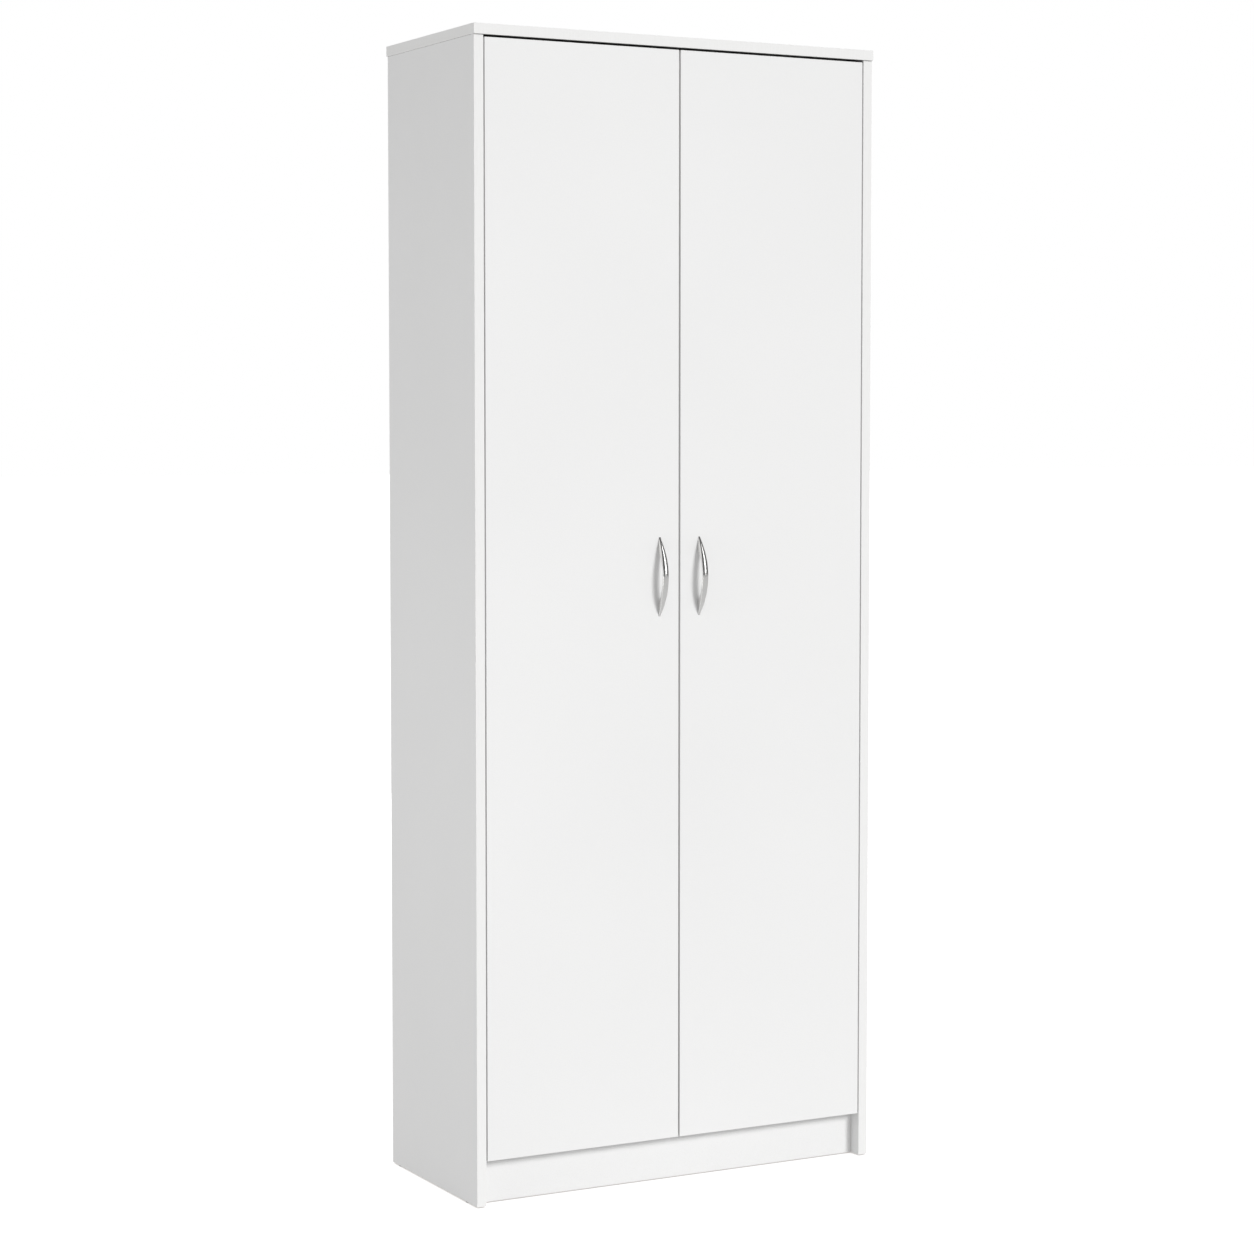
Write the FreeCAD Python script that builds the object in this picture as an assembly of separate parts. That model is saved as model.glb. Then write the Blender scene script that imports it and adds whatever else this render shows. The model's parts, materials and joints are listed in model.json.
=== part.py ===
"""Tall two-door pantry cabinet, flat-pack construction in white melamine-faced chipboard.

Row frame: millimetres, +Z up, the doors face -Y, +X to the right as seen from the front.
The origin is the centre of the footprint of the overall box, on the floor.
"""
import FreeCAD, Part
import math
import os

Vector = FreeCAD.Vector

# ---------------------------------------------------------------- driving dimensions
HEIGHT = 1800.0              # floor to the top of the top panel
WIDTH = 708.0                # across the two side panels
SIDE_DEPTH = 320.0           # front edge to rear edge of a side panel
BOARD = 16.0                 # chipboard thickness
BACK_SHEET = 3.0             # hardboard thickness
TOP_OVERHANG_FRONT = 3.0
TOP_OVERHANG_SIDE = 1.0
GLIDE_HEIGHT = 2.0
PLINTH_HEIGHT = 68.0
PLINTH_RECESS = 23.0         # door face to plinth face
DOOR_BOTTOM = 71.5           # height of the doors' lower edge
DOOR_GAP_TOP = 3.5
DOOR_GAP_SIDE = 2.0
DOOR_GAP_MIDDLE = 3.0
HANDLE_HEIGHT = 962.0        # height of the handles' centres
HANDLE_INSET = 34.0          # door's free edge to the handle's centre line
HANDLE_REACH = 22.0          # how far a handle stands out from its door
HANDLE_LENGTH = 124.0
HANDLE_HOLE_SPACING = 96.0
FIXED_SHELF_BOTTOM = 927.0
FRONT_SETBACK = 22.0         # door face to the front edges of the inner boards
SHELF_SETBACK = 26.0         # door face to the front edges of the loose shelves
HINGE_HEIGHTS = (172.0, 660.0, 1140.0, 1680.0)
FASTENER_GAP = 0.05          # radial room of a dowel or bolt in its hole

# ---------------------------------------------------------------- derived places
FRONT = (HANDLE_REACH - SIDE_DEPTH - BACK_SHEET) / 2   # y of the doors' front faces
HALF = WIDTH / 2
INNER = HALF - BOARD                                   # x of the sides' inner faces
TOP_UNDERSIDE = HEIGHT - BOARD
FLOOR_PANEL = GLIDE_HEIGHT + PLINTH_HEIGHT             # z of the bottom panel's underside
DOOR_WIDTH = INNER - DOOR_GAP_SIDE - DOOR_GAP_MIDDLE / 2
DOOR_TOP = TOP_UNDERSIDE - DOOR_GAP_TOP
LOWER_BAY = FIXED_SHELF_BOTTOM - FLOOR_PANEL - BOARD
UPPER_BAY = TOP_UNDERSIDE - FIXED_SHELF_BOTTOM - BOARD
SHELF_BOTTOMS = (
    FLOOR_PANEL + BOARD + (LOWER_BAY - BOARD) / 2,
    FIXED_SHELF_BOTTOM + BOARD + (UPPER_BAY - 2 * BOARD) / 3,
    FIXED_SHELF_BOTTOM + 2 * BOARD + 2 * (UPPER_BAY - 2 * BOARD) / 3,
)
BACK_SPLIT = FIXED_SHELF_BOTTOM + BOARD / 2            # z where the two back sheets meet

LEFT, RIGHT = -1, 1
X, Y, Z = Vector(1, 0, 0), Vector(0, 1, 0), Vector(0, 0, 1)


# ---------------------------------------------------------------- shape helpers
def at(x, depth, z):
    """A point given by its depth behind the doors' front faces."""
    return Vector(x, FRONT + depth, z)


def block(x0, x1, depth0, depth1, z0, z1):
    low = at(min(x0, x1), depth0, z0)
    return Part.makeBox(abs(x1 - x0), depth1 - depth0, z1 - z0, low)


def rod(start, direction, length, radius):
    return Part.makeCylinder(radius, length, start, direction)


def cone(start, direction, length, radius0, radius1):
    return Part.makeCone(radius0, radius1, length, start, direction)


def cut(shape, tools):
    return shape.cut(tools) if tools else shape


def fuse(shapes):
    return shapes[0].fuse(shapes[1:]).removeSplitter() if len(shapes) > 1 else shapes[0]


def bar(points, width, thickness, z):
    """A flat link with round ends and round corners, in a horizontal plane centred on z."""
    pieces = []
    base = z - thickness / 2
    for point in points:
        pieces.append(rod(Vector(point.x, point.y, base), Z, thickness, width / 2))
    for start, end in zip(points, points[1:]):
        along = end - start
        strip = Part.makeBox(along.Length, width, thickness, Vector(0, -width / 2, 0))
        strip.rotate(Vector(0, 0, 0), Z, math.degrees(math.atan2(along.y, along.x)))
        strip.translate(Vector(start.x, start.y, base))
        pieces.append(strip)
    return fuse(pieces)


# ---------------------------------------------------------------- parts and the holes cut in them
nodes = {}                   # node name -> list of solids
holes = {}                   # node name -> list of cutting shapes


def add(node, *solids):
    nodes.setdefault(node, []).extend(solids)


def drill(node, *tools):
    holes.setdefault(node, []).extend(tools)


# ---------------------------------------------------------------- boards
def side_name(side):
    return "left" if side == LEFT else "right"


def make_boards():
    for side in (LEFT, RIGHT):
        add(side_name(side) + "_side_panel",
            block(side * INNER, side * HALF, 0, SIDE_DEPTH, GLIDE_HEIGHT, TOP_UNDERSIDE))
    top_half = HALF + TOP_OVERHANG_SIDE
    add("top_panel", block(-top_half, top_half, -TOP_OVERHANG_FRONT, SIDE_DEPTH + BACK_SHEET,
                           TOP_UNDERSIDE, HEIGHT))
    add("bottom_panel", block(-INNER, INNER, FRONT_SETBACK, SIDE_DEPTH,
                              FLOOR_PANEL, FLOOR_PANEL + BOARD))
    add("fixed_shelf", block(-INNER, INNER, FRONT_SETBACK, SIDE_DEPTH,
                             FIXED_SHELF_BOTTOM, FIXED_SHELF_BOTTOM + BOARD))
    add("plinth", block(-INNER, INNER, PLINTH_RECESS, PLINTH_RECESS + BOARD,
                        GLIDE_HEIGHT, FLOOR_PANEL))


def make_loose_shelves():
    end_room, rear_room = 1.0, 4.0
    half = INNER - end_room
    for number, bottom in enumerate(SHELF_BOTTOMS, 1):
        add("adjustable_shelf_%d" % number,
            block(-half, half, SHELF_SETBACK, SIDE_DEPTH - rear_room, bottom, bottom + BOARD))


def make_back():
    side_inset, seam = 2.0, 0.5
    half = HALF - side_inset
    behind = (SIDE_DEPTH, SIDE_DEPTH + BACK_SHEET)
    add("back_sheet_lower", block(-half, half, *behind, FLOOR_PANEL, BACK_SPLIT - seam))
    add("back_sheet_upper", block(-half, half, *behind, BACK_SPLIT + seam, TOP_UNDERSIDE - seam))


def make_back_nails():
    """Flat-headed nails through the back sheets into the boards' rear edges, heads flush."""
    lower, upper = "back_sheet_lower", "back_sheet_upper"
    per_edge, pitch, end_room = 8, 120.0, 20.0
    seam_room, bite = 4.0, 14.0
    spots = []
    for side in (LEFT, RIGHT):
        panel, x = side_name(side) + "_side_panel", side * (HALF - BOARD / 2)
        for sheet, low, high in ((lower, FLOOR_PANEL, BACK_SPLIT), (upper, BACK_SPLIT, TOP_UNDERSIDE)):
            step = (high - low - 2 * end_room) / (per_edge - 1)
            for i in range(per_edge):
                spots.append((panel, sheet, x, low + end_room + i * step))
    for i in range(-2, 3):
        spots.append(("bottom_panel", lower, i * pitch, FLOOR_PANEL + BOARD / 2))
        spots.append(("fixed_shelf", lower, i * pitch, BACK_SPLIT - seam_room))
    for i in (-1.5, -0.5, 0.5, 1.5):
        spots.append(("fixed_shelf", upper, i * pitch, BACK_SPLIT + seam_room))
    for board, sheet, x, z in spots:
        tip = at(x, SIDE_DEPTH - bite, z)
        length = bite + BACK_SHEET
        nail = fuse([rod(tip, Y, length, 0.7), rod(tip + Y * length, Y * -1, 0.8, 2.4)])
        add("back_nails", nail)
        drill(board, nail)
        drill(sheet, nail)


# ---------------------------------------------------------------- cam joints and dowels
CAM_SETBACK = 34.0           # joint face to the cam's centre
CAM_RADIUS = 7.5
CAM_DEPTH = 12.5             # of the pocket that the cam turns in
CAM_SINK = 0.6               # board's face to the cam's top
CAM_FLOOR_ROOM = 0.3         # under the cam
CAM_THROAT = 3.0             # how far the bolt's channel runs past the cam's centre
CAP_RADIUS = 8.5
CAP_THICKNESS = 1.0
BOLT_THREAD = (10.5, 3.0)    # lengths and radii along the bolt
BOLT_COLLAR = (2.5, 3.4)
BOLT_HEAD = (3.5, 3.2)
BOLT_HEAD_START = 4.0        # before the cam's centre
BOLT_SHANK_RADIUS = 2.0
BOLT_CHANNEL_RADIUS = 3.8
PLINTH_CAM_HEIGHT = 36.0
PLINTH_DOWEL_HEIGHTS = (15.0, 57.0)
DOWEL_RADIUS = 4.0


def cam_joint(bolt_board, cam_board, joint, into, open_side, cap=False):
    """A bolt screwed into one board's face and drawn up by a cam in the other board."""
    centre = joint + into * CAM_SETBACK
    face = centre + open_side * (BOARD / 2)
    thread = rod(joint - into * BOLT_THREAD[0], into, *BOLT_THREAD)
    shank_length = CAM_SETBACK - BOLT_HEAD_START + BOLT_HEAD[0] / 2
    add("cam_bolts", fuse([thread,
                           rod(joint, into, shank_length, BOLT_SHANK_RADIUS),
                           rod(joint, into, *BOLT_COLLAR),
                           rod(centre - into * BOLT_HEAD_START, into, *BOLT_HEAD)]))
    cam_top = face - open_side * CAM_SINK
    cam_height = CAM_DEPTH - CAM_SINK - CAM_FLOOR_ROOM
    cam = rod(cam_top, open_side * -1, cam_height, CAM_RADIUS - FASTENER_GAP)
    throat = rod(joint, into, CAM_SETBACK + CAM_THROAT, BOLT_CHANNEL_RADIUS)
    add("cam_locks", cam.cut([throat, cross_slot(cam_top, open_side)]))
    drill(bolt_board, thread)
    drill(cam_board, rod(joint, into, CAM_SETBACK, BOLT_CHANNEL_RADIUS),
          rod(face, open_side * -1, CAM_DEPTH, CAM_RADIUS))
    if cap:
        add("cam_caps", rod(face, open_side, CAP_THICKNESS, CAP_RADIUS))


def cross_slot(centre, outward, size=5.0, width=1.3, depth=2.0):
    """The cross recess that a screwdriver turns, sunk from the point given."""
    arms = []
    for angle in (0, 90):
        arm = Part.makeBox(size, width, depth, Vector(-size / 2, -width / 2, -depth))
        arm.rotate(Vector(0, 0, 0), Z, angle)
        arms.append(arm)
    cross = fuse(arms)
    cross.Placement = FreeCAD.Placement(centre, FreeCAD.Rotation(Z, outward))
    return cross


def dowel(face_board, edge_board, joint, into, in_face=10.0, in_edge=18.0):
    start = joint - into * in_face
    add("wooden_dowels", rod(start, into, in_face + in_edge, DOWEL_RADIUS - FASTENER_GAP))
    hole = rod(start, into, in_face + in_edge, DOWEL_RADIUS)
    drill(face_board, hole)
    drill(edge_board, hole)


def make_joinery():
    cam_depths = (62.0, 268.0)
    dowel_depths = (100.0, 230.0)
    for side in (LEFT, RIGHT):
        panel = side_name(side) + "_side_panel"
        inward = X * -side
        edge = side * (HALF - BOARD / 2)
        for depth in cam_depths:
            cam_joint("top_panel", panel, at(edge, depth, TOP_UNDERSIDE), Z * -1, inward, cap=True)
        for depth in dowel_depths:
            dowel("top_panel", panel, at(edge, depth, TOP_UNDERSIDE), Z * -1)
        for board, bottom in (("bottom_panel", FLOOR_PANEL), ("fixed_shelf", FIXED_SHELF_BOTTOM)):
            middle = bottom + BOARD / 2
            for depth in cam_depths:
                cam_joint(panel, board, at(side * INNER, depth, middle), inward, Z * -1)
            for depth in dowel_depths:
                dowel(panel, board, at(side * INNER, depth, middle), inward)
        plinth_depth = PLINTH_RECESS + BOARD / 2
        cam_joint(panel, "plinth", at(side * INNER, plinth_depth, PLINTH_CAM_HEIGHT), inward, Y)
        for height in PLINTH_DOWEL_HEIGHTS:
            dowel(panel, "plinth", at(side * INNER, plinth_depth, height), inward)


# ---------------------------------------------------------------- shelf pins
PIN_RADIUS = 2.5
PIN_HOLE_DEPTH = 10.0
PIN_COLUMNS = (90.0, 250.0)  # depths of the two columns of pin holes
PIN_PITCH = 32.0
SPARE_HOLES = 2              # spare holes above and below each pin


def make_shelf_pins():
    """Each loose shelf rests on four pins with flat seats, and spare holes let it move."""
    peg_length, peg_drop = PIN_HOLE_DEPTH - 1.0, PIN_RADIUS + 0.5
    seat_reach, seat_half, seat_height = 9.0, 3.0, 3.5
    flange_thickness, flange_half, flange_height = 1.5, 4.5, 9.0
    for side in (LEFT, RIGHT):
        inward = X * -side
        panel = side_name(side) + "_side_panel"
        for bottom in SHELF_BOTTOMS:
            for depth in PIN_COLUMNS:
                wall = at(side * INNER, depth, bottom - peg_drop)
                for step in range(-SPARE_HOLES, SPARE_HOLES + 1):
                    mouth = wall + Z * (step * PIN_PITCH)
                    drill(panel, rod(mouth, inward * -1, PIN_HOLE_DEPTH, PIN_RADIUS))
                seat = block(side * INNER, side * (INNER - seat_reach),
                             depth - seat_half, depth + seat_half, bottom - seat_height, bottom)
                flange = block(side * INNER, side * (INNER - flange_thickness),
                               depth - flange_half, depth + flange_half,
                               bottom - flange_height, bottom)
                peg = rod(wall, inward * -1, peg_length, PIN_RADIUS - FASTENER_GAP)
                add("shelf_pins", fuse([peg, flange, seat]))


# ---------------------------------------------------------------- glides, bumpers, wall brackets
def make_glides():
    """Nail-on glides that lift the side panels' lower edges off the floor."""
    depths = (42.0, 296.0)
    pad_radius, sole_radius, sole_height = 7.0, 6.0, 0.6
    nail_length, nail_radius = 14.0, 1.0
    for side in (LEFT, RIGHT):
        for depth in depths:
            foot = at(side * (HALF - BOARD / 2), depth, 0)
            pad = rod(foot + Z * sole_height, Z, GLIDE_HEIGHT - sole_height, pad_radius)
            sole = cone(foot, Z, sole_height, sole_radius, pad_radius)
            nail = rod(foot + Z * GLIDE_HEIGHT, Z, nail_length, nail_radius)
            add("glides", fuse([pad, sole, nail]))
            drill(side_name(side) + "_side_panel", nail)


def make_bumpers():
    """Silicone dots on the inner boards' front edges that the closed doors meet."""
    door_room, from_middle = 0.3, 24.0
    radius, tip_radius, tip_height = 5.0, 3.4, 1.5
    thickness = FRONT_SETBACK - BOARD - door_room
    stem_height = thickness - tip_height
    for board_bottom in (FLOOR_PANEL, FIXED_SHELF_BOTTOM):
        for x in (-from_middle, from_middle):
            base = at(x, FRONT_SETBACK, board_bottom + BOARD / 2)
            stem = rod(base - Y * stem_height, Y, stem_height, radius)
            dome = cone(base - Y * thickness, Y, tip_height, tip_radius, radius)
            add("door_bumpers", fuse([stem, dome]))


BRACKET_SPREAD = 560.0       # between the two wall-fixing holes
BRACKET_LEG = 40.0
BRACKET_METAL = 2.0
WALL_HOLE_RADIUS = 2.75
WALL_HOLE_DROP = 24.0        # underside of the top panel to the wall-fixing hole


def make_wall_brackets():
    """Steel angles inside the top rear corners, with a hole each for a screw into the wall."""
    half_width, screw_setbacks, screw_length = 10.0, (32.0, 16.0), 13.0
    rear, ceiling = SIDE_DEPTH, TOP_UNDERSIDE
    for x in (-BRACKET_SPREAD / 2, BRACKET_SPREAD / 2):
        low, high = x - half_width, x + half_width
        upright = block(low, high, rear - BRACKET_METAL, rear, ceiling - BRACKET_LEG, ceiling)
        flange = block(low, high, rear - BRACKET_LEG, rear, ceiling - BRACKET_METAL, ceiling)
        drill_start, drill_length = rear - BRACKET_METAL - 3.0, BRACKET_METAL + BACK_SHEET + 5.0
        wall_hole = at(x, drill_start, ceiling - WALL_HOLE_DROP)
        tools = [rod(wall_hole, Y, drill_length, WALL_HOLE_RADIUS)]
        for setback in screw_setbacks:
            seat = at(x, rear - setback, ceiling - BRACKET_METAL)
            screw, hole = wood_screw(seat, Z, screw_length)
            add("wall_bracket_screws", screw)
            tools.append(hole)
            drill("top_panel", hole)
        add("wall_brackets", fuse([upright, flange]).cut(tools))
        drill("back_sheet_upper", rod(wall_hole, Y, drill_length, WALL_HOLE_RADIUS + 1.0))


def wood_screw(seat, into, length, radius=1.75, head=3.5):
    """A countersunk screw with its head flush with the seat, and the plain shape of its hole."""
    sink = head - radius
    hole = fuse([cone(seat, into, sink, head, radius), rod(seat, into, length, radius)])
    return hole.cut(cross_slot(seat, into * -1, size=4.0, width=0.9, depth=1.2)), hole


# ---------------------------------------------------------------- handles
def make_handles():
    """Bow handles: a crescent in side view and a slim leaf in front view."""
    half_width, tip_half_width = 5.25, 1.6
    half_length = HANDLE_LENGTH / 2
    bow_radius = (half_length ** 2 + HANDLE_REACH ** 2) / (2 * HANDLE_REACH)
    grip_half, grip_reach = 42.0, 17.5
    grip_radius = (grip_half ** 2 + grip_reach ** 2) / (2 * grip_reach)
    leaf_drop = half_width - tip_half_width
    leaf_radius = (half_length ** 2 + leaf_drop ** 2) / (2 * leaf_drop)
    screw_radius, screw_bite, bore_radius = 1.9, 5.1, 2.25
    screw_head, seat_room = (2.2, 3.8), 0.1
    blank, margin = 4 * half_width, 1.0
    start = Vector(-blank / 2, 0, 0)
    bow = rod(start + Y * (bow_radius - HANDLE_REACH), X, blank, bow_radius)
    bow = bow.common(Part.makeBox(blank, HANDLE_REACH + margin, HANDLE_LENGTH + 2 * margin,
                                  start - Y * (HANDLE_REACH + margin) - Z * (half_length + margin)))
    for side in (LEFT, RIGHT):
        leaf_centre = Vector(side * (leaf_radius - half_width), -HANDLE_REACH - margin, 0)
        bow = bow.common(rod(leaf_centre, Y, HANDLE_REACH + 2 * margin, leaf_radius))
    bow = bow.cut(rod(start + Y * (grip_radius - grip_reach), X, blank, grip_radius))
    for side in (LEFT, RIGHT):
        x = side * (DOOR_GAP_MIDDLE / 2 + HANDLE_INSET)
        handle = bow.copy()
        handle.translate(at(x, 0, HANDLE_HEIGHT))
        for end in (-1, 1):
            seat = at(x, BOARD, HANDLE_HEIGHT + end * HANDLE_HOLE_SPACING / 2)
            shank = rod(seat + Y * seat_room, Y * -1, BOARD + screw_bite, screw_radius)
            screw = fuse([shank, rod(seat, Y, *screw_head)])
            screw = screw.cut(cross_slot(seat + Y * screw_head[0], Y))
            add(side_name(side) + "_handle_screws", screw)
            handle = handle.cut(rod(seat, Y * -1, BOARD + screw_bite + margin,
                                    screw_radius + FASTENER_GAP))
            drill(side_name(side) + "_door", rod(seat, Y * -1, BOARD, bore_radius))
        add(side_name(side) + "_handle", handle)


def make_doors():
    for side in (LEFT, RIGHT):
        free_edge = side * DOOR_GAP_MIDDLE / 2
        add(side_name(side) + "_door",
            block(free_edge, free_edge + side * DOOR_WIDTH, 0, BOARD, DOOR_BOTTOM, DOOR_TOP))


# ---------------------------------------------------------------- hinges
# A hinge is drawn in its own plan: u runs from the door's hinge edge towards its free edge,
# and depth runs from the door's face into the cabinet. Heights are from the hinge's middle.
CUP_U = 22.0                 # door's hinge edge to the cup's centre
CUP_RADIUS = 17.5
CUP_FLOOR = 4.5              # depth at which the bore in the door ends
CUP_SHELL = 0.9
CUP_RIM = 1.8                # how far the rim reaches over the bore
CUP_ROOM = 0.1               # under the cup, in its bore
CUP_BASE = 0.9               # thickness of the cup's floor
CUP_SCREW_SPREAD = 24.0      # cup's middle to each of its screws
FLANGE = 1.2
TONGUE = (12.0, 30.0)        # length past the cup's centre, and half height
EAR = (7.0, 8.4)             # heights of an ear's two faces, from the hinge's middle
ARM_PIN_OUTER = (32.7, 36.0)         # fixed pivots, on the arm's nose
ARM_PIN_INNER = (34.3, 12.1)
CUP_PIN_OUTER = (13.3, 13.1)         # the cup's pivots, where they are with the door closed
CUP_PIN_INNER = (18.6, 9.9)
OUTER_LINK_BEND = (28.0, 17.1)       # corners of the goosenecked links
INNER_LINK_BEND = (25.0, 8.5)
LINK_WIDTH = 4.0
PIN = 1.25
PIN_ROOM = 0.05
OUTER_LINK = (5.0, 6.5)      # heights of a link plate's two faces
INNER_LINK_HALF = 3.0
CHEEK = (3.3, 4.7)           # heights of an arm cheek's two faces
PLATE_U = -DOOR_GAP_SIDE     # the side panel's inner face
PLATE_DEPTH = 54.0           # door's face to the mounting plate's screws
PLATE_METAL = 1.5            # thickness of the plate's wings
PLATE_SCREW_SPREAD = 16.0
ARM_TOP_U = 11.5             # arm's outer face, where the adjusting screws sit
ADJUSTER_DEPTHS = (56.0, 68.0)


def hinge_point(side, plan, z):
    u, depth = plan
    return at(side * (INNER - DOOR_GAP_SIDE - u), depth, z)


def hinge_block(side, u0, u1, depth0, depth1, z0, z1):
    edge = INNER - DOOR_GAP_SIDE
    return block(side * (edge - u0), side * (edge - u1), depth0, depth1, z0, z1)


def hinge_bar(side, plan_points, width, z, z0, z1):
    points = [hinge_point(side, plan, 0) for plan in plan_points]
    return bar(points, width, z1 - z0, z + (z0 + z1) / 2)


def hinge_pin(side, plan, z, z0, z1, radius=PIN):
    return rod(hinge_point(side, plan, z + z0), Z, z1 - z0, radius)


def pin_holes(side, plans, z, half_height):
    """Cutters for the pins' holes, a little wider than the pins."""
    return [hinge_pin(side, plan, z, -half_height, half_height, PIN + PIN_ROOM) for plan in plans]


def both_ways(span):
    """The same span of heights below and above the hinge's middle."""
    low, high = span
    return (-high, -low), (low, high)


def make_cup(side, z):
    """The cup in the door, its flange, its two pins' ears, and its screws."""
    name = side_name(side)
    centre = hinge_point(side, (CUP_U, BOARD), z)
    to_face = Y * -1
    bore_depth = BOARD - CUP_FLOOR
    shell = rod(centre, to_face, bore_depth - CUP_ROOM, CUP_RADIUS - FASTENER_GAP)
    rim = rod(centre, Y, FLANGE, CUP_RADIUS + CUP_RIM)
    tongue_end, tongue_half = CUP_U + TONGUE[0], TONGUE[1]
    tongue = hinge_block(side, CUP_U, tongue_end, BOARD, BOARD + FLANGE, z - tongue_half, z + tongue_half)
    cavity = rod(centre + Y * FLANGE, to_face, bore_depth + FLANGE - CUP_ROOM - CUP_BASE,
                 CUP_RADIUS - CUP_SHELL)
    mouth_start, mouth_end, mouth_floor, mouth_half = 2.0, 14.0, CUP_FLOOR + 5.0, 7.3
    mouth = hinge_block(side, mouth_start, mouth_end, mouth_floor, BOARD + 2 * FLANGE,
                        z - mouth_half, z + mouth_half)
    body = fuse([shell, rim, tongue]).cut([cavity, mouth])
    ear_start, ear_end = CUP_PIN_OUTER[0] - 2.6, CUP_PIN_INNER[0] + 3.0
    ear_front, ear_back = CUP_FLOOR + 0.6, CUP_PIN_OUTER[1] + 2.6
    ears = [hinge_block(side, ear_start, ear_end, ear_front, ear_back, z + low, z + high)
            for low, high in both_ways(EAR)]
    body = fuse([body] + ears).cut(pin_holes(side, (CUP_PIN_OUTER, CUP_PIN_INNER), z, 9.0))
    screw_u, screw_length = CUP_U + TONGUE[0] / 2, 11.5
    screw_holes = []
    for offset in (-CUP_SCREW_SPREAD, CUP_SCREW_SPREAD):
        seat = hinge_point(side, (screw_u, BOARD + FLANGE), z + offset)
        screw, hole = wood_screw(seat, to_face, screw_length)
        add(name + "_cup_screws", screw)
        screw_holes.append(hole)
    add(name + "_hinge_cups", body.cut(screw_holes))
    drill(name + "_door", rod(centre, to_face, bore_depth, CUP_RADIUS), *screw_holes)
    ear_top = EAR[1]
    add(name + "_cup_pins", hinge_pin(side, CUP_PIN_OUTER, z, -ear_top, ear_top))
    for low, high in both_ways((INNER_LINK_HALF + 0.4, ear_top)):
        add(name + "_cup_pins", hinge_pin(side, CUP_PIN_INNER, z, low, high))


def make_links(side, z):
    """Two outer link plates on the full pins, and an inner link whose cup end is left open."""
    outer_path = (ARM_PIN_OUTER, OUTER_LINK_BEND, CUP_PIN_OUTER)
    inner_path = (ARM_PIN_INNER, INNER_LINK_BEND, CUP_PIN_INNER)
    through = OUTER_LINK[1] + 1.0
    for low, high in both_ways(OUTER_LINK):
        plate = hinge_bar(side, outer_path, LINK_WIDTH, z, low, high)
        holes_here = pin_holes(side, (ARM_PIN_OUTER, CUP_PIN_OUTER), z, through)
        add(side_name(side) + "_outer_links", plate.cut(holes_here))
    inner = hinge_bar(side, inner_path, LINK_WIDTH, z, -INNER_LINK_HALF, INNER_LINK_HALF)
    add(side_name(side) + "_inner_links", inner.cut(pin_holes(side, (ARM_PIN_INNER,), z, through)))


def make_arm(side, z):
    """The cranked arm with its two cheeks, the pins in its nose, and the wing plate it clips on."""
    name = side_name(side)
    cheek_inner, cheek_outer = CHEEK
    cheek_width = 5.0
    crank = [ARM_PIN_INNER, ARM_PIN_OUTER, (27.0, 44.0), (9.0, 50.0), (9.0, 70.0)]
    cheeks = [hinge_bar(side, crank, cheek_width, z, low, high) for low, high in both_ways(CHEEK)]
    web = hinge_bar(side, crank[2:4], cheek_width, z, -cheek_inner, cheek_inner)
    channel = hinge_block(side, 5.0, ARM_TOP_U, 48.0, 76.0, z - 6.0, z + 6.0)
    arm = fuse(cheeks + [channel, web])
    arm = arm.cut(pin_holes(side, (ARM_PIN_OUTER, ARM_PIN_INNER), z, 8.0))
    outer_end = OUTER_LINK[1] + 0.4
    add(name + "_arm_pins", hinge_pin(side, ARM_PIN_OUTER, z, -outer_end, outer_end),
        hinge_pin(side, ARM_PIN_INNER, z, -cheek_outer, cheek_outer))

    wing_top = PLATE_U + PLATE_METAL
    spine = hinge_block(side, PLATE_U, 0.5, 42.0, 78.0, z - 9.0, z + 9.0)
    wings = hinge_block(side, PLATE_U, wing_top, PLATE_DEPTH - 7.0, PLATE_DEPTH + 7.0,
                        z - 25.0, z + 25.0)
    rail = hinge_block(side, 0.5, 5.0, 46.0, 76.0, z - 5.0, z + 5.0)
    plate = fuse([spine, wings, rail])

    out = X * -side
    shank, head = (9.0, 1.9), (1.2, 3.0)
    adjusters = []
    for depth in ADJUSTER_DEPTHS:
        seat = hinge_point(side, (ARM_TOP_U, depth), z)
        adjusters.append(rod(seat, out * -1, *shank))
        adjuster = fuse([rod(seat, out, *head), adjusters[-1]])
        add(name + "_adjusting_screws", adjuster.cut(cross_slot(seat + out * head[0], out)))
    screw_length = 13.5
    screw_holes = []
    for offset in (-PLATE_SCREW_SPREAD, PLATE_SCREW_SPREAD):
        seat = hinge_point(side, (wing_top, PLATE_DEPTH), z + offset)
        screw, hole = wood_screw(seat, out * -1, screw_length)
        add(name + "_plate_screws", screw)
        screw_holes.append(hole)
    drill(name + "_side_panel", *screw_holes)
    add(name + "_hinge_arms", arm.cut(adjusters))
    add(name + "_hinge_plates", plate.cut(adjusters + screw_holes))


def make_hinges():
    for side in (LEFT, RIGHT):
        for z in HINGE_HEIGHTS:
            make_cup(side, z)
            make_links(side, z)
            make_arm(side, z)


# ---------------------------------------------------------------- build and export
def main():
    make_boards()
    make_loose_shelves()
    make_back()
    make_back_nails()
    make_joinery()
    make_shelf_pins()
    make_glides()
    make_bumpers()
    make_wall_brackets()
    make_doors()
    make_handles()
    make_hinges()
    os.makedirs("parts", exist_ok=True)
    for node, solids in nodes.items():
        if node in holes:
            solids = [cut(solid, holes[node]) for solid in solids]
        shape = solids[0] if len(solids) == 1 else Part.makeCompound(solids)
        shape.exportStep("parts/%s.step" % node)
        print("%-26s %3d solids %10.0f mm3" % (node, len(shape.Solids), shape.Volume))


main()
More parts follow.
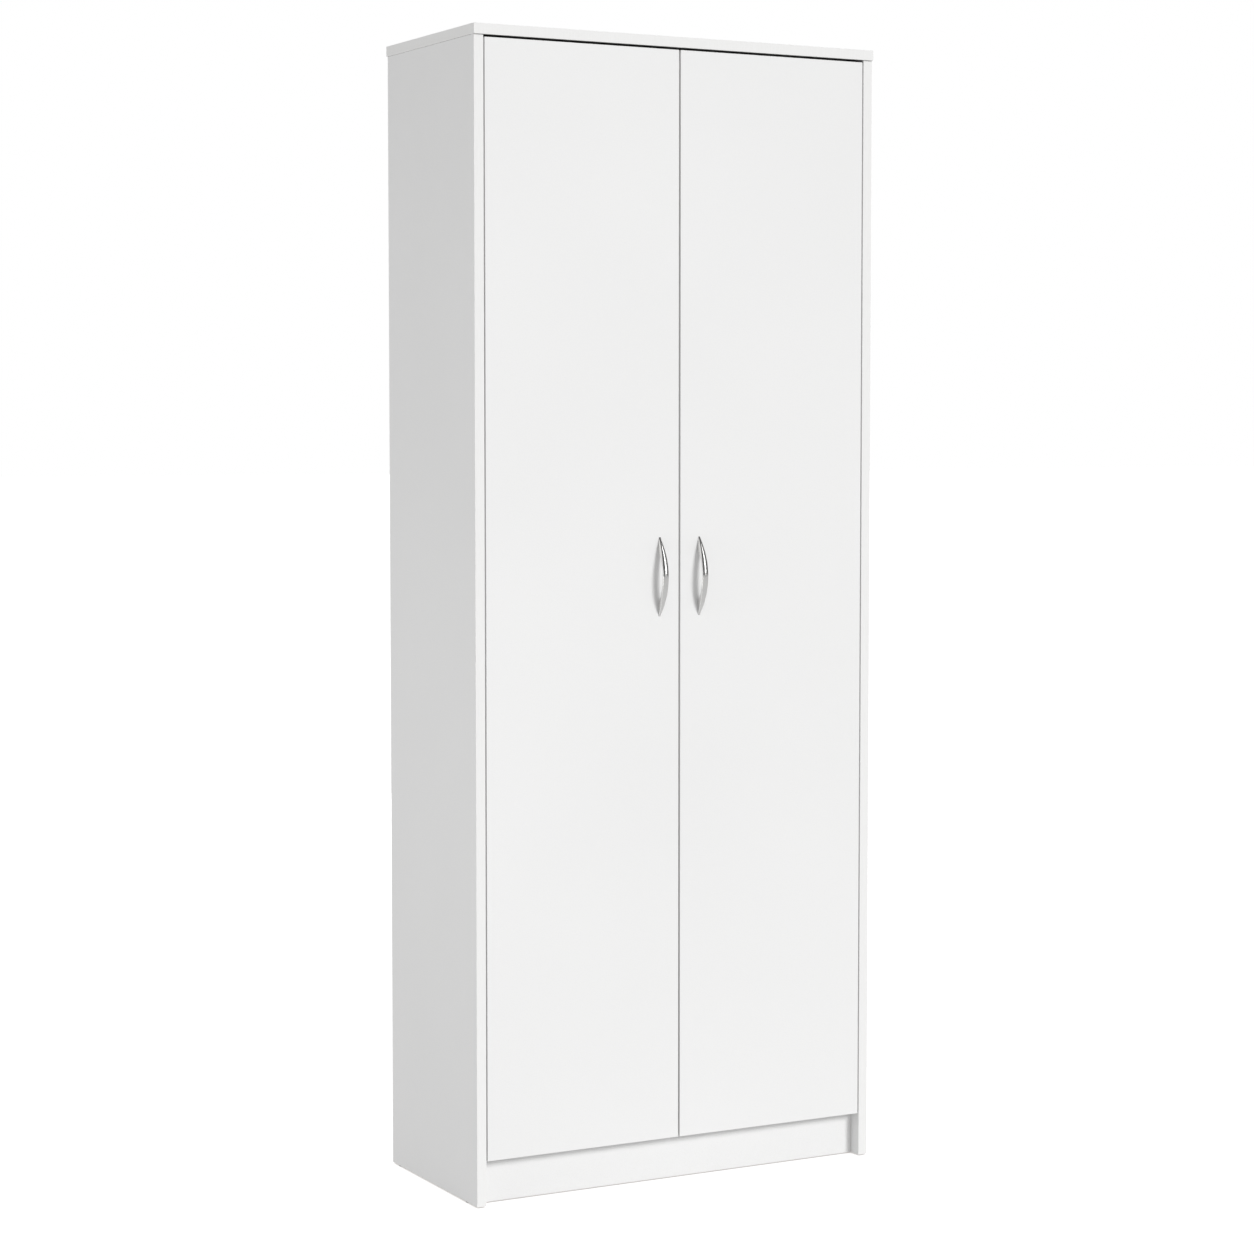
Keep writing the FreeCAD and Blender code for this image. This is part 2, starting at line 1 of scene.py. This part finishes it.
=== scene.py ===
"""Tall two-door pantry cabinet in white melamine: the looks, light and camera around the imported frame.

Units are metres, in the frame's own axes: +Z up, the doors face -Y, +X to the right from the front.
"""
import bpy
import bmesh
import json
import math
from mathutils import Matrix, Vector


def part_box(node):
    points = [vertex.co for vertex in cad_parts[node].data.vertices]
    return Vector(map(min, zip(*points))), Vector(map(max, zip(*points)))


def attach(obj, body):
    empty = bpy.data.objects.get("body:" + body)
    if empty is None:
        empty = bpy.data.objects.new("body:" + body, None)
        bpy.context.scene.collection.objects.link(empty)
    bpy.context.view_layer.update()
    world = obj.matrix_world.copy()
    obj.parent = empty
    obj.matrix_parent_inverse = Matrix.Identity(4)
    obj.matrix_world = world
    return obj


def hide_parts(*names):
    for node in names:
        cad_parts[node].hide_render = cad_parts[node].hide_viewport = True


MM = 0.001
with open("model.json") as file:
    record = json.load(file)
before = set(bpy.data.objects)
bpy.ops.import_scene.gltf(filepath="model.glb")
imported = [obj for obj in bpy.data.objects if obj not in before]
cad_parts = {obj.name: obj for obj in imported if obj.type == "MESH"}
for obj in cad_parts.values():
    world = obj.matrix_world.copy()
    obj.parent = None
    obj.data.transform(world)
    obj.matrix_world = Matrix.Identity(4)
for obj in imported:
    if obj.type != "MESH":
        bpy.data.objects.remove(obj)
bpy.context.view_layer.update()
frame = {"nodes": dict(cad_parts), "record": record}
nodes = frame["nodes"]
record = frame["record"]
body_of = {name: body for body, names in record["behaviour"]["bodies"].items() for name in names}
slot_of = {part["node"]: part["material_slot"] for part in record["subparts"]}
SIDES = ("left", "right")
X_AXIS, Y_AXIS, Z_AXIS = AXES = range(3)


# ---------------------------------------------------------------- shader helpers
WHITE = (1.0, 1.0, 1.0)
COLOUR_FACTOR, COLOUR_A, COLOUR_B, COLOUR_RESULT = 0, 6, 7, 2   # a Mix node's colour sockets
NUMBER_FACTOR, NUMBER_A, NUMBER_B = 0, 2, 3                     # and its number sockets


def grey(value):
    return (value, value, value)


def feed(tree, socket, value):
    """Links the socket to another node's output, or sets it to a constant."""
    if isinstance(value, bpy.types.NodeSocket):
        tree.links.new(value, socket)
    else:
        socket.default_value = value


class Shader:
    """A material with one Principled surface, and short ways to add nodes to it."""

    def __init__(self, name, **values):
        self.material = bpy.data.materials.new(name)
        self.material.use_nodes = True
        self.tree = self.material.node_tree
        self.surface = self.tree.nodes["Principled BSDF"]
        for socket, value in values.items():
            self.surface.inputs[socket.replace("_", " ")].default_value = value
        self.place = self.add("ShaderNodeTexCoord").outputs["Object"]

    def add(self, kind, inputs=None, **settings):
        made = self.tree.nodes.new(kind)
        for key, value in settings.items():
            setattr(made, key, value)
        for socket, value in (inputs or {}).items():
            feed(self.tree, made.inputs[socket], value)
        return made

    def stretched(self, x, y, z):
        """Object coordinates multiplied by x, y and z."""
        return self.add("ShaderNodeMapping", {"Vector": self.place, "Scale": (x, y, z)}).outputs[0]

    def noise(self, scale, detail=3.0, rough=0.55, at=None, distortion=0.0):
        return self.add("ShaderNodeTexNoise", {
            "Vector": at or self.place, "Scale": scale, "Detail": detail,
            "Roughness": rough, "Distortion": distortion}).outputs["Fac"]

    def cells(self, scale, at=None, output="Distance"):
        return self.add("ShaderNodeTexVoronoi", {"Vector": at or self.place, "Scale": scale}).outputs[output]

    def openness(self, reach):
        """1 in the open, falling to 0 where other surfaces close in within the reach."""
        return self.add("ShaderNodeAmbientOcclusion", {"Distance": reach}, samples=12).outputs["AO"]

    def spread(self, value, low, high, from_low=0.0, from_high=1.0):
        """The value, mapped linearly from one range to another and clamped."""
        return self.add("ShaderNodeMapRange", {
            "Value": value, "From Min": from_low, "From Max": from_high,
            "To Min": low, "To Max": high}).outputs[0]

    def ramp(self, value, *stops):
        """A colour for each value, blended between stops given as (position, colour)."""
        made = self.add("ShaderNodeValToRGB", {"Fac": value})
        elements = made.color_ramp.elements
        while len(elements) < len(stops):
            elements.new(0.5)
        for element, (position, colour) in zip(elements, stops):
            element.position = position
            element.color = (*colour, 1.0)
        return made.outputs["Color"]

    def multiply(self, a, b):
        """The product of two colours."""
        return self.add("ShaderNodeMix", {COLOUR_FACTOR: 1.0, COLOUR_A: a, COLOUR_B: b},
                        data_type="RGBA", blend_type="MULTIPLY").outputs[COLOUR_RESULT]

    def colour(self, value):
        feed(self.tree, self.surface.inputs["Base Color"], value)

    def roughness(self, value):
        feed(self.tree, self.surface.inputs["Roughness"], value)

    def bump(self, *layers):
        """Layers of (height, strength, depth in metres), each laid over the one before."""
        normal = None
        for height, strength, depth in layers:
            inputs = {"Height": height, "Strength": strength, "Distance": depth}
            if normal:
                inputs["Normal"] = normal
            normal = self.add("ShaderNodeBump", inputs).outputs["Normal"]
        feed(self.tree, self.surface.inputs["Normal"], normal)


# ---------------------------------------------------------------- materials
SLOT_REACH = 12 * MM         # how near another surface must stand for the painted shade to darken the face beside a slot
BOARD_LOW, BOARD_HIGH = (0.842, 0.842, 0.840), (0.862, 0.862, 0.860)
DOOR_LOW, DOOR_HIGH = (0.850, 0.850, 0.848), (0.868, 0.868, 0.866)


def melamine(name, low, high, slot_shade=False):
    """Melamine face: near-white paper under resin, with a fine pearl texture.

    With slot_shade, painted shade darkens its colour where another surface stands close, as in the gap over
    the doors."""
    s = Shader(name, Specular_IOR_Level=0.42)
    cloud = s.noise(2.2, detail=2.0)
    fleck = s.noise(850.0, detail=2.0)
    tone = s.ramp(cloud, (0.3, low), (0.7, high))
    speck = s.ramp(fleck, (0.32, (0.965, 0.963, 0.958)), (0.5, WHITE))
    colour = s.multiply(tone, speck)
    rough = s.spread(s.noise(45.0, detail=4.0), 0.36, 0.47, 0.3, 0.7)
    if slot_shade:
        # painted shade: the colour darkens, and the face dulls, where another surface closes in within the
        # reach
        openness = s.openness(SLOT_REACH)
        shade = s.ramp(openness, (0.18, grey(0.01)), (0.85, WHITE))
        colour = s.multiply(colour, shade)
        dull = s.spread(openness, 1.0, 0.0, 0.3, 0.85)
        rough = s.add("ShaderNodeMath", {0: rough, 1: dull}, operation="MAXIMUM").outputs[0]
    s.colour(colour)
    s.roughness(rough)
    s.bump((s.noise(9.0, detail=1.0), 0.05, 0.6 * MM), (s.cells(1400.0), 0.16, 0.05 * MM),
           (s.noise(2600.0, detail=1.0), 0.12, 0.03 * MM))
    return s.material


def edge_band():
    """The thin band ironed on a board's edge: smoother than the face, with faint trimming lines."""
    s = Shader("edge_band", Specular_IOR_Level=0.46)
    lines = s.noise(60.0, detail=3.0, at=s.stretched(14.0, 14.0, 1.0))
    s.colour(s.ramp(lines, (0.3, (0.845, 0.843, 0.835)), (0.7, (0.875, 0.874, 0.868))))
    s.roughness(s.spread(lines, 0.30, 0.42, 0.3, 0.7))
    s.bump((lines, 0.08, 0.05 * MM), (s.noise(1500.0, detail=1.0), 0.08, 0.02 * MM))
    return s.material


def chipboard():
    """Raw chipboard: pressed wood chips, each of its own brown, under a finer fibre."""
    s = Shader("chipboard", Specular_IOR_Level=0.2)
    chips = s.cells(210.0, at=s.stretched(1.0, 2.6, 2.6), output="Color")
    chip_tone = s.add("ShaderNodeSeparateColor", {"Color": chips}).outputs[0]
    fibre = s.noise(700.0, detail=4.0, at=s.stretched(0.25, 1.0, 1.0))
    wood = s.ramp(chip_tone, (0.0, (0.30, 0.19, 0.105)), (0.35, (0.44, 0.30, 0.175)),
                  (0.75, (0.53, 0.385, 0.235)), (1.0, (0.62, 0.47, 0.30)))
    grain = s.ramp(fibre, (0.3, (0.80, 0.78, 0.75)), (0.6, WHITE))
    s.colour(s.multiply(wood, grain))
    s.roughness(s.spread(fibre, 0.72, 0.92))
    s.bump((chip_tone, 0.5, 0.25 * MM), (fibre, 0.4, 0.12 * MM))
    return s.material


def hardboard_back():
    """The brown outer side of the back sheets, with the screen's print in it."""
    s = Shader("hardboard_back", Specular_IOR_Level=0.25)
    blotch = s.noise(5.0, detail=5.0, rough=0.6)
    fibre = s.noise(260.0, detail=6.0, rough=0.7, distortion=0.6)
    tone = s.ramp(blotch, (0.3, (0.275, 0.170, 0.098)), (0.7, (0.335, 0.215, 0.128)))
    fuzz = s.ramp(fibre, (0.3, (0.74, 0.70, 0.66)), (0.55, WHITE), (0.8, (1.18, 1.16, 1.12)))
    s.colour(s.multiply(tone, fuzz))
    s.roughness(s.spread(fibre, 0.58, 0.8))
    weave = [s.add("ShaderNodeTexWave", {"Vector": s.place, "Scale": 210.0, "Distortion": 1.2, "Detail": 1.0},
                   bands_direction=direction).outputs["Fac"] for direction in ("X", "Z")]
    screen = s.add("ShaderNodeMath", {0: weave[0], 1: weave[1]}, operation="MULTIPLY").outputs[0]
    s.bump((screen, 0.45, 0.12 * MM), (fibre, 0.3, 0.1 * MM))
    return s.material


def hardboard_face():
    """The white lacquered inner side of the back sheets."""
    s = Shader("hardboard_face", Specular_IOR_Level=0.4)
    roll = s.noise(26.0, detail=3.0, at=s.stretched(6.0, 1.0, 1.0))
    s.colour(s.ramp(roll, (0.3, (0.846, 0.844, 0.834)), (0.7, (0.858, 0.857, 0.848))))
    s.roughness(s.spread(roll, 0.42, 0.52, 0.3, 0.7))
    s.bump((s.noise(1200.0, detail=2.0), 0.18, 0.04 * MM))
    return s.material


def metal(name, tone, rough, streak=(1.0, 1.0, 1.0), streak_scale=400.0, pits=0.15):
    """A plated or cast metal: light variation in tone, and streaks or pits in the surface."""
    s = Shader(name, Metallic=1.0)
    streaks = s.noise(streak_scale, detail=4.0, at=s.stretched(*streak))
    cloud = s.noise(35.0, detail=3.0)
    low = tuple(0.93 * channel for channel in tone)
    s.colour(s.ramp(cloud, (0.3, low), (0.7, tone)))
    s.roughness(s.spread(streaks, rough * 0.85, rough * 1.2, 0.3, 0.7))
    s.bump((streaks, pits, 0.03 * MM))
    return s.material


def plastic(name, low, high, rough, grain=900.0, **values):
    """A moulded plastic: a cloudy tone from low to high, and a fine moulded grain."""
    s = Shader(name, Specular_IOR_Level=0.45, **values)
    cloud = s.noise(120.0, detail=3.0)
    s.colour(s.ramp(cloud, (0.3, low), (0.7, high)))
    s.roughness(s.spread(cloud, rough - 0.05, rough + 0.06, 0.3, 0.7))
    s.bump((s.noise(grain, detail=2.0), 0.2, 0.05 * MM))
    return s.material


def beech():
    """Beech dowel stock: wavy rings, and pores drawn out along the pin."""
    s = Shader("beech", Specular_IOR_Level=0.25)
    rings = s.add("ShaderNodeTexWave", {"Vector": s.stretched(1.0, 1.0, 0.6), "Scale": 130.0,
                                        "Distortion": 4.0, "Detail": 2.0}).outputs["Fac"]
    pores = s.noise(900.0, detail=3.0, at=s.stretched(0.2, 1.0, 1.0))
    tone = s.ramp(rings, (0.2, (0.58, 0.42, 0.26)), (0.8, (0.68, 0.52, 0.34)))
    dark = s.ramp(pores, (0.32, (0.72, 0.66, 0.6)), (0.45, WHITE))
    s.colour(s.multiply(tone, dark))
    s.roughness(s.spread(pores, 0.5, 0.68))
    s.bump((pores, 0.35, 0.08 * MM))
    return s.material


MELAMINE = melamine("melamine", BOARD_LOW, BOARD_HIGH)
# the top panel's face, with painted shade in the gap over the doors and under its overhang
TOP_FACE = melamine("top_face", BOARD_LOW, BOARD_HIGH, slot_shade=True)
DOOR_FACE = melamine("door_face", DOOR_LOW, DOOR_HIGH)
EDGE = edge_band()
RAW = chipboard()
BACK_OUT = hardboard_back()
BACK_IN = hardboard_face()
NICKEL = metal("polished_nickel", (0.83, 0.825, 0.815), 0.17,
               streak=(1.0, 1.0, 0.06), streak_scale=900.0, pits=0.04)
FINISH = {
    "handle_metal": NICKEL,
    "zinc_casting": metal("zinc_casting", (0.66, 0.665, 0.67), 0.30, streak_scale=650.0),
    "plated_steel": metal("plated_steel", (0.74, 0.735, 0.72), 0.24,
                          streak=(0.3, 1.0, 1.0), streak_scale=800.0),
    "nail_steel": metal("bright_steel", (0.60, 0.60, 0.61), 0.36, streak_scale=700.0, pits=0.3),
    "cap_white": plastic("cap_plastic", (0.84, 0.84, 0.835), (0.87, 0.87, 0.865), 0.40),
    "glide_plastic": plastic("glide_plastic", (0.16, 0.155, 0.15), (0.21, 0.205, 0.20), 0.48, grain=600.0),
    "bumper_silicone": plastic("clear_silicone", (0.74, 0.76, 0.76), (0.82, 0.83, 0.83), 0.28,
                               Transmission_Weight=0.35, IOR=1.41),
    "beech_dowel": beech(),
}


# ---------------------------------------------------------------- pieces made from the frame's nodes
SEAM = 2e-6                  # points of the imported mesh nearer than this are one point
FLAT_WITHIN = math.radians(0.4)
ON_BOX = 1e-5                # how near a point lies to a face of the node's box to be on it
BOARD_EASE = 0.5 * MM        # rounding of a board's arrises
EASE_SEGMENTS = 2
BOARD_SMOOTH, FITTING_SMOOTH, HANDLE_SMOOTH = (math.radians(angle) for angle in (25, 30, 40))
SHARP_EDGE = math.radians(35)
FACE, BAND, CUT, REAR = range(4)   # a board's material slots
FRONT_EDGE = (Y_AXIS, -1)
ALL_ROUND = [(axis, side) for axis in (X_AXIS, Z_AXIS) for side in (-1, 1)]


def welded(node):
    """The node's mesh with its seams joined and its flat regions merged."""
    mesh = bmesh.new()
    mesh.from_mesh(nodes[node].data)
    bmesh.ops.remove_doubles(mesh, verts=mesh.verts, dist=SEAM)
    bmesh.ops.dissolve_limit(mesh, angle_limit=FLAT_WITHIN, verts=mesh.verts, edges=mesh.edges)
    return mesh


def eased(mesh, edges, amount):
    """Rounds the edges of the bmesh by the amount."""
    bmesh.ops.bevel(mesh, geom=edges, offset=amount, segments=EASE_SEGMENTS, profile=0.5,
                    affect="EDGES", clamp_overlap=True)


def finish_piece(mesh, node, materials, smooth_angle):
    """Turns a bmesh into a shown piece that stands for the node and rides on its body."""
    name = node + "_piece"
    data = bpy.data.meshes.new(name)
    mesh.to_mesh(data)
    mesh.free()
    for material in materials:
        data.materials.append(material)
    data.shade_smooth()
    data.set_sharp_from_angle(angle=smooth_angle)
    piece = bpy.data.objects.new(name, data)
    bpy.context.scene.collection.objects.link(piece)
    piece.modifiers.new("even_normals", "WEIGHTED_NORMAL").keep_sharp = True
    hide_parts(node)
    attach(piece, body_of[node])
    return piece


def on_box(point, low, high, axis):
    """-1 or 1 if the point lies on the box's low or high face across the axis, else 0."""
    if abs(point[axis] - low[axis]) < ON_BOX:
        return -1
    return 1 if abs(point[axis] - high[axis]) < ON_BOX else 0


def is_arris(edge, low, high):
    """Whether the edge lies where two faces of the box meet."""
    shared = 0
    for axis in AXES:
        first, second = (on_box(vert.co, low, high, axis) for vert in edge.verts)
        if first != 0 and first == second:
            shared += 1
    return shared >= 2


def board(node, face, banded, back=None):
    """A board with eased arrises, bands on the edges named, and raw chipboard in its cut faces.

    The edges are named as (axis, side) pairs. The two largest faces take the face material, and
    a back material, if given, covers the one that faces +Y."""
    low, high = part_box(node)
    size = high - low
    thin = min(AXES, key=lambda axis: size[axis])
    mesh = welded(node)
    ease = min(BOARD_EASE, size[thin] / 5)
    eased(mesh, [edge for edge in mesh.edges if is_arris(edge, low, high)], ease)
    for item in mesh.faces:
        centre = item.calc_center_median()
        depth = min(min(centre[axis] - low[axis], high[axis] - centre[axis]) for axis in AXES)
        axis = max(AXES, key=lambda index: abs(item.normal[index]))
        side = 1 if item.normal[axis] > 0 else -1
        if depth > ease:
            item.material_index = CUT
        elif axis == thin:
            item.material_index = REAR if back and side > 0 else FACE
        elif (axis, side) in banded:
            item.material_index = BAND
        else:
            item.material_index = CUT
    materials = [face, EDGE, RAW] + ([back] if back else [])
    finish_piece(mesh, node, materials, BOARD_SMOOTH)


def refined(node, round_by):
    """A fitting whose sharp edges are eased, in the finish of its slot."""
    mesh = welded(node)
    mesh.normal_update()
    edges = [edge for edge in mesh.edges
             if len(edge.link_faces) == 2 and edge.calc_face_angle(0.0) > SHARP_EDGE]
    eased(mesh, edges, round_by)
    finish_piece(mesh, node, [FINISH[slot_of[node]]], FITTING_SMOOTH)


def make_boards():
    for side in SIDES:
        board(side + "_side_panel", MELAMINE, [FRONT_EDGE])
        board(side + "_door", DOOR_FACE, ALL_ROUND)
    board("top_panel", TOP_FACE, [FRONT_EDGE, (X_AXIS, -1), (X_AXIS, 1)])
    board("plinth", MELAMINE, [(Z_AXIS, 1)])
    for node in ("bottom_panel", "fixed_shelf", "adjustable_shelf_1", "adjustable_shelf_2",
                 "adjustable_shelf_3"):
        board(node, MELAMINE, [FRONT_EDGE])
    for node in ("back_sheet_lower", "back_sheet_upper"):
        board(node, BACK_IN, [], back=BACK_OUT)


# ---------------------------------------------------------------- handles
GRIP_HALF, GRIP_REACH = 42 * MM, 17.5 * MM     # half length and depth of the hollow behind the bow
TIP_HALF_WIDTH = 1.5 * MM
CROWN, BACK_ROUND = 2.4 * MM, 1.3 * MM         # rise of the face, and rounding behind
CROWN_SHARE, BACK_SHARE = 0.55, 0.3            # the most of the bow's thickness that each takes
SIDE_FULLNESS, BACK_FULLNESS = 0.75, 0.9       # exponents under 1 fill the section's corners
LEAST_THICKNESS = 0.02 * MM
STATIONS, AROUND = 97, 28
END_CROWDING = 0.35                            # how much closer the stations lie near the ends


def arc_radius(half_chord, rise):
    return (half_chord ** 2 + rise ** 2) / (2 * rise)


def arc_rise(radius, along, rise):
    """Height over its chord of an arc with this radius and rise, at a distance from its middle."""
    return math.sqrt(radius ** 2 - along ** 2) - (radius - rise)


def bow_handle(side):
    """A polished bow: a crescent from the side, a leaf from the front, with a crowned face."""
    low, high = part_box(side + "_handle")
    centre = (low + high) / 2
    half_length = (high.z - low.z) / 2
    half_width = (high.x - low.x) / 2
    reach = high.y - low.y
    bow_radius = arc_radius(half_length, reach)
    grip_radius = arc_radius(GRIP_HALF, GRIP_REACH)
    leaf_radius = arc_radius(half_length, half_width - TIP_HALF_WIDTH)

    def outline(z):
        """Depth of the face and of the back from the door, and half the width, at a height."""
        outer = max(arc_rise(bow_radius, z, reach), LEAST_THICKNESS)
        inner = max(0.0, arc_rise(grip_radius, z, GRIP_REACH)) if abs(z) < GRIP_HALF else 0.0
        return outer, inner, arc_rise(leaf_radius, z, half_width)

    mesh = bmesh.new()
    rings = []
    for i in range(STATIONS):
        even = 2 * i / (STATIONS - 1) - 1
        crowded = -math.cos(math.pi * i / (STATIONS - 1))
        z = half_length * (END_CROWDING * crowded + (1 - END_CROWDING) * even)
        outer, inner, width = outline(z)
        crown_here = min(CROWN, CROWN_SHARE * (outer - inner))
        back_here = min(BACK_ROUND, BACK_SHARE * (outer - inner)) if inner > 0 else 0.0
        ring = []
        for k in range(AROUND):
            angle = 2 * math.pi * k / AROUND
            across = math.copysign(abs(math.cos(angle)) ** SIDE_FULLNESS, math.cos(angle))
            rise = math.sin(angle)
            if rise >= 0:
                y = outer - crown_here + crown_here * rise
            else:
                y = inner + back_here * (1 - abs(rise) ** BACK_FULLNESS)
            ring.append(mesh.verts.new((centre.x + width * across, high.y - y, centre.z + z)))
        rings.append(ring)
    for first, second in zip(rings, rings[1:]):
        for k in range(AROUND):
            n = (k + 1) % AROUND
            mesh.faces.new((first[k], first[n], second[n], second[k]))
    mesh.faces.new(rings[0][::-1])
    mesh.faces.new(rings[-1])
    bmesh.ops.recalc_face_normals(mesh, faces=mesh.faces)
    return finish_piece(mesh, side + "_handle", [NICKEL], HANDLE_SMOOTH)


# ---------------------------------------------------------------- fittings
DOOR_ROUNDING = {
    "_handle_screws": 0.25 * MM, "_hinge_cups": 0.2 * MM, "_hinge_arms": 0.25 * MM,
    "_hinge_plates": 0.25 * MM, "_outer_links": 0.15 * MM, "_inner_links": 0.3 * MM,
}
CARCASS_ROUNDING = {
    "cam_caps": 0.3 * MM, "shelf_pins": 0.2 * MM, "wall_brackets": 0.3 * MM, "door_bumpers": 0.3 * MM,
}


def make_fittings():
    """The handles, the fittings with eased edges, and the finish of the nodes that are kept as they are."""
    handles = []
    for side in SIDES:
        handles.append(bow_handle(side))
        for ending, rounding in DOOR_ROUNDING.items():
            refined(side + ending, rounding)
    for node, rounding in CARCASS_ROUNDING.items():
        refined(node, rounding)
    for node, made in nodes.items():
        if not made.hide_render:
            made.data.materials.clear()
            made.data.materials.append(FINISH[slot_of[node]])
    return handles


# ---------------------------------------------------------------- stage, light and camera
MIDDLE = Vector((0, 0, 0.9))
FLOOR_HALF = 60.0
FLOOR_GREYS = (0.29, 0.31)
FLOOR_SEEN = 1.00            # emission towards the camera
CONTACT_SHADOW_SEEN = 0.42          # the same, right under the cabinet, where it drops as a painted contact shadow
CONTACT_REACH = 10 * MM
FLOOR_GLOW = 0.42            # emission towards the cabinet
ROOM_SEEN = 1.0              # strength of the surroundings towards the camera
ROOM_LIGHT = 0.37            # as light on the cabinet
ROOM_REFLECTED = 0.13        # in the cabinet's reflections
KEY_FROM = (20, 27, 5.0)     # azimuth, elevation and distance, as towards() takes them
KEY_STRENGTH = 1.99
KEY_SOFTNESS = math.radians(20)
CARD_POWER, CARD_SIZE = 80.0, 3.0
LEFT_CARD_PLACE = Vector((-4.0, 0.3, 0.1))
REAR_CARD_PLACE = Vector((1.2, 4.6, 1.3))
STREAK_FROM = (25, 27, 3.4)
STREAK_POWER, STREAK_WIDTH, STREAK_HEIGHT = 17.0, 0.65, 3.0
CAMERA_PLACE = (-2.2657, -4.1895, 1.2013)
CAMERA_YAW = 28.271          # degrees to the right of +Y
CAMERA_TILT = 3.454          # degrees below the horizon
CAMERA_SENSOR = 36.0         # mm
CAMERA_LENS = 84.812         # mm
CAMERA_SHIFT = -0.02


def ray_switch(tree, choices, otherwise):
    """A strength that depends on the kind of ray, as (Light Path output, value) pairs."""
    rays = tree.nodes.new("ShaderNodeLightPath")
    value = otherwise
    for output, strength in choices:
        pick = tree.nodes.new("ShaderNodeMix")
        pick.data_type = "FLOAT"
        feed(tree, pick.inputs[NUMBER_FACTOR], rays.outputs[output])
        feed(tree, pick.inputs[NUMBER_A], value)
        feed(tree, pick.inputs[NUMBER_B], strength)
        value = pick.outputs[0]
    return value


def stage_floor():
    """A pale light-table floor: white to the eye with a painted contact shadow under the cabinet, and a
    weaker light for the cabinet.
    """
    data = bpy.data.meshes.new("floor")
    corners = [(x * FLOOR_HALF, y * FLOOR_HALF, 0) for x, y in ((-1, -1), (1, -1), (1, 1), (-1, 1))]
    data.from_pydata(corners, [], [(0, 1, 2, 3)])
    floor = bpy.data.objects.new("floor", data)
    bpy.context.scene.collection.objects.link(floor)
    s = Shader("floor_paint", Specular_IOR_Level=0.1, Roughness=0.9)
    s.surface.inputs["Emission Color"].default_value = (*WHITE, 1.0)
    # painted contact shadow: the emission the camera sees drops where the cabinet stands within the contact
    # reach
    seen = s.spread(s.openness(CONTACT_REACH), CONTACT_SHADOW_SEEN, FLOOR_SEEN, 0.0, 0.6)
    glow = ray_switch(s.tree, [("Is Camera Ray", seen)], FLOOR_GLOW)
    feed(s.tree, s.surface.inputs["Emission Strength"], glow)
    darker, lighter = FLOOR_GREYS
    s.colour(s.ramp(s.noise(0.8), (0.3, grey(darker)), (0.7, grey(lighter))))
    data.materials.append(s.material)


def studio_world():
    """Soft grey surroundings that light the cabinet, darker in reflections, behind a white backdrop."""
    world = bpy.data.worlds.new("studio")
    bpy.context.scene.world = world
    world.use_nodes = True
    tree = world.node_tree
    surroundings = tree.nodes["Background"]
    surroundings.inputs["Color"].default_value = (*WHITE, 1.0)
    choices = [("Is Glossy Ray", ROOM_REFLECTED), ("Is Camera Ray", ROOM_SEEN)]
    feed(tree, surroundings.inputs["Strength"], ray_switch(tree, choices, ROOM_LIGHT))


def towards(azimuth, elevation, distance):
    """A place round the cabinet's middle: azimuth 0 is in front, 90 to the right."""
    a, e = math.radians(azimuth), math.radians(elevation)
    return MIDDLE + distance * Vector((math.sin(a) * math.cos(e), -math.cos(a) * math.cos(e), math.sin(e)))


def lamp(name, kind, energy, location, **settings):
    """A light that faces the cabinet's middle and that the camera doesn't see."""
    data = bpy.data.lights.new(name, kind)
    data.energy = energy
    for key, value in settings.items():
        setattr(data, key, value)
    made = bpy.data.objects.new(name, data)
    made.location = location
    made.rotation_mode = "QUATERNION"
    made.rotation_quaternion = (MIDDLE - location).to_track_quat("-Z", "Y")
    made.visible_camera = False
    bpy.context.scene.collection.objects.link(made)
    return made


def make_lights(handles):
    """A soft sun from the front right, a card on the left and one behind, and a streak on the handles."""
    key = lamp("key", "SUN", KEY_STRENGTH, towards(*KEY_FROM), angle=KEY_SOFTNESS)
    key.visible_glossy = False
    lamp("left_card", "AREA", CARD_POWER, LEFT_CARD_PLACE, size=CARD_SIZE)
    rear = lamp("rear_card", "AREA", CARD_POWER, REAR_CARD_PLACE, size=CARD_SIZE)
    rear.visible_glossy = False
    streak = lamp("streak", "AREA", STREAK_POWER, towards(*STREAK_FROM), shape="RECTANGLE",
                  size=STREAK_WIDTH, size_y=STREAK_HEIGHT)
    streak.visible_diffuse = False
    bright_metal = bpy.data.collections.new("bright_metal")
    for handle in handles:
        bright_metal.objects.link(handle)
    streak.light_linking.receiver_collection = bright_metal


def make_camera():
    data = bpy.data.cameras.new("camera")
    data.sensor_width = CAMERA_SENSOR
    data.lens = CAMERA_LENS
    data.shift_y = CAMERA_SHIFT
    camera = bpy.data.objects.new("camera", data)
    camera.location = CAMERA_PLACE
    camera.rotation_euler = (math.radians(90 - CAMERA_TILT), 0, math.radians(-CAMERA_YAW))
    bpy.context.scene.collection.objects.link(camera)
    bpy.context.scene.camera = camera


make_boards()
handle_pieces = make_fittings()
stage_floor()
studio_world()
make_lights(handle_pieces)
make_camera()
bpy.context.scene.view_settings.view_transform = "Standard"
